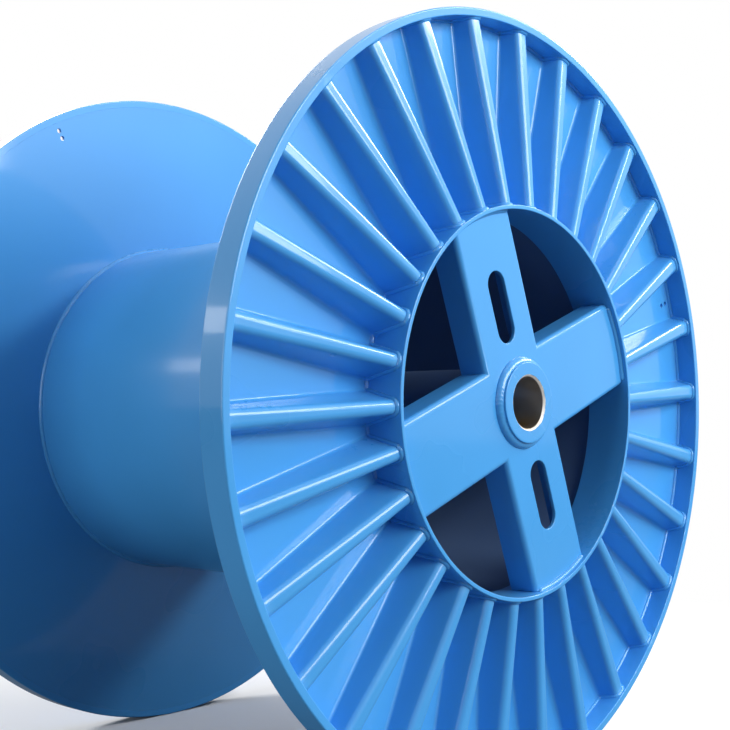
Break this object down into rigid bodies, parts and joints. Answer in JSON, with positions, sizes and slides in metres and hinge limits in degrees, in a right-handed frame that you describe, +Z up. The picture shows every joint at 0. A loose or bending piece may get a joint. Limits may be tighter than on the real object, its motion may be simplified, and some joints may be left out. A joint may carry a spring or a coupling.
{
  "type": "corrugated steel bobbin",
  "caption": "Steel wire bobbin with a bare barrel between flanges of radially corrugated sheet in rolled hoops, and slotted spoke crosses with machined bores.",
  "frame": {"origin": "on the floor under the middle of the barrel", "axes": "+X along the bobbin's axis towards the front flange, +Z up"},
  "size_m": [0.853, 1.1199, 1.12],
  "materials": {
    "blue_paint": "gloss",
    "bush_steel": "gloss"
  },
  "bodies": {
    "root": {"rim_hoop_front": "blue_paint", "flange_plate_front": "blue_paint", "corrugated_sheet_front": "blue_paint", "hub_ring_front": "blue_paint", "spoke_cross_front": "blue_paint", "hub_bush_front": "bush_steel", "rim_hoop_rear": "blue_paint", "flange_plate_rear": "blue_paint", "corrugated_sheet_rear": "blue_paint", "hub_ring_rear": "blue_paint", "spoke_cross_rear": "blue_paint", "hub_bush_rear": "bush_steel", "barrel": "blue_paint", "centre_tube": "blue_paint"}
  },
  "joints": []
}
